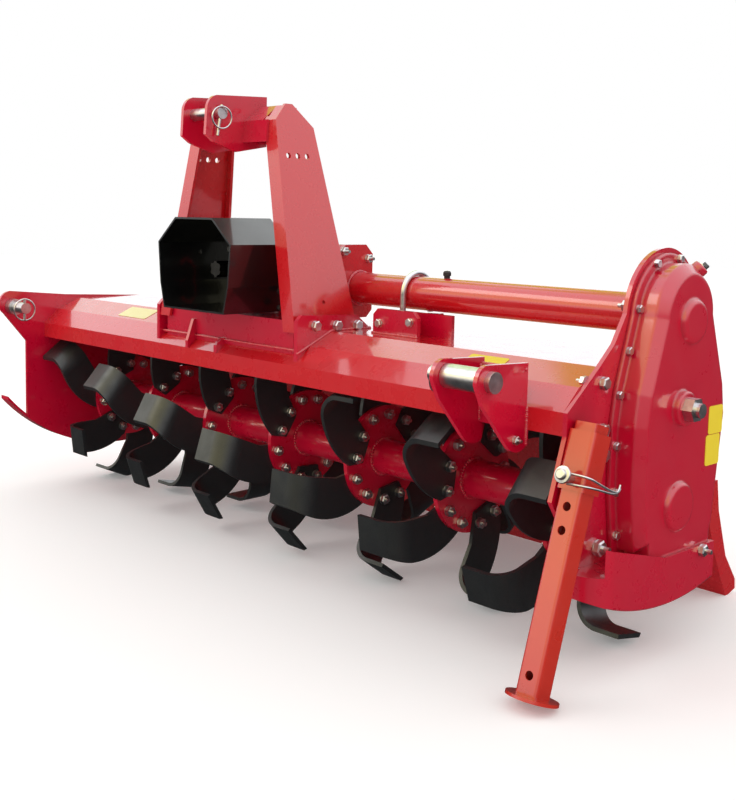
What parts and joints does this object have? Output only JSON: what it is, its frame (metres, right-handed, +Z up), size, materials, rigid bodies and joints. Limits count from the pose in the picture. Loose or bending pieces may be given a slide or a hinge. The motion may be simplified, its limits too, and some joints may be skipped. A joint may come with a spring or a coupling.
{
  "type": "rotary tiller",
  "caption": "Tractor-mounted rotary tiller: tined rotor under a deck, side gear case, gearbox with guarded shaft, three-point hitch mast, hinged rear board and a parking stand.",
  "frame": {"origin": "on the floor, under the middle of the machine's outline", "axes": "+X along the rotor towards the side gear case, +Y away from the tractor, +Z up"},
  "size_m": [1.789, 0.774, 0.974],
  "materials": {
    "red_paint": "gloss",
    "orange_red_paint": "gloss",
    "cast_iron_paint": "gloss",
    "black_tine_paint": "satin",
    "black_guard": "satin",
    "zinc_plate": "satin",
    "machined_steel": "satin",
    "rubber_seal": "matte"
  },
  "bodies": {
    "frame": {"board_hinge_pin": "zinc_plate", "cross_beam": "red_paint", "deck": "red_paint", "drive_tube": "red_paint", "gear_case": "red_paint", "gear_pan": "red_paint", "gearbox": "red_paint", "idler_nut": "zinc_plate", "input_seal": "rubber_seal", "left_bearing": "cast_iron_paint", "left_end_plate": "red_paint", "left_lower_pin": "zinc_plate", "left_mast": "red_paint", "left_mast_bracket": "red_paint", "left_pin_sleeve": "zinc_plate", "left_skid": "red_paint", "pto_guard": "black_guard", "right_end_plate": "red_paint", "right_lower_bracket": "red_paint", "right_lower_pin": "zinc_plate", "right_mast": "red_paint", "right_mast_bracket": "red_paint", "right_pin_sleeve": "zinc_plate", "stand_pin": "zinc_plate", "stand_socket": "orange_red_paint", "top_hitch": "red_paint", "top_pin": "zinc_plate", "tube_saddle": "red_paint", "u_bolt": "zinc_plate"},
    "rotor": {"rotor_shaft": "red_paint", "tines": "black_tine_paint"},
    "input_shaft": {"pto_shaft": "machined_steel"},
    "board": {"trailing_board": "red_paint"},
    "stand": {"stand_leg": "orange_red_paint"}
  },
  "joints": [
    {"name": "rotor_spin", "type": "hinge", "parent": "frame", "child": "rotor", "pos_m": [-0.0295, -0.05096, 0.236], "axis": [1, 0, 0], "continuous": true},
    {"name": "input_spin", "type": "hinge", "parent": "frame", "child": "input_shaft", "pos_m": [-0.0895, -0.26096, 0.612], "axis": [0, 1, 0], "continuous": true},
    {"name": "board_swing", "type": "hinge", "parent": "frame", "child": "board", "pos_m": [-0.0295, 0.17104, 0.448], "axis": [1, 0, 0], "range_deg": [0, 55]},
    {"name": "stand_slide", "type": "slide", "parent": "frame", "child": "stand", "axis": [0, 0.3024, 0.9532], "range_m": [0, 0.15]}
  ],
  "couplings": [
    {"joint": "input_spin", "follows": "rotor_spin", "ratio": -2.45}
  ]
}
